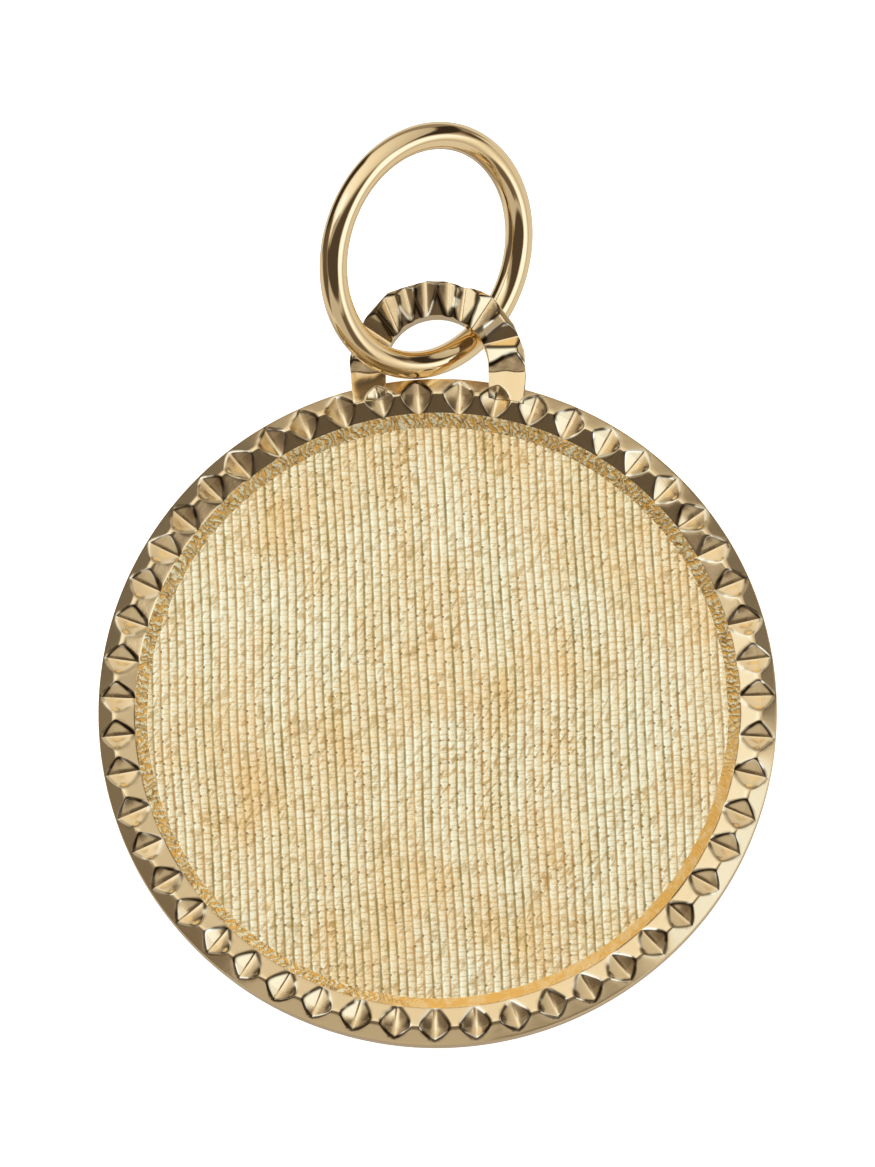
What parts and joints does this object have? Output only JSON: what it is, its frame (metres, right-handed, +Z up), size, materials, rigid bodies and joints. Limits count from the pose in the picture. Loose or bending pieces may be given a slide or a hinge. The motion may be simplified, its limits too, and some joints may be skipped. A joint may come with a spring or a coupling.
{
  "type": "disc charm",
  "caption": "Round gold disc charm lying flat, with a notched raised rim round a line-engraved face, a notched bail arch and a wire jump ring to hang it from a chain.",
  "frame": {"origin": "middle of the disc's flat back face", "axes": "+Z is up from the level surface that the charm lies on, +Y runs up the charm towards the bail and the jump ring, +X is to the right of the engraved face. The disc leans 2.08 degrees, because the jump ring lifts its bail end."},
  "size_m": [0.019, 0.0257, 0.0056],
  "materials": {
    "body_gold": "polished yellow gold, with a satin line-engraved face",
    "ring_gold": "polished pale yellow gold wire"
  },
  "bodies": {
    "root": {"charm_body": "body_gold", "jump_ring": "ring_gold"}
  },
  "joints": []
}
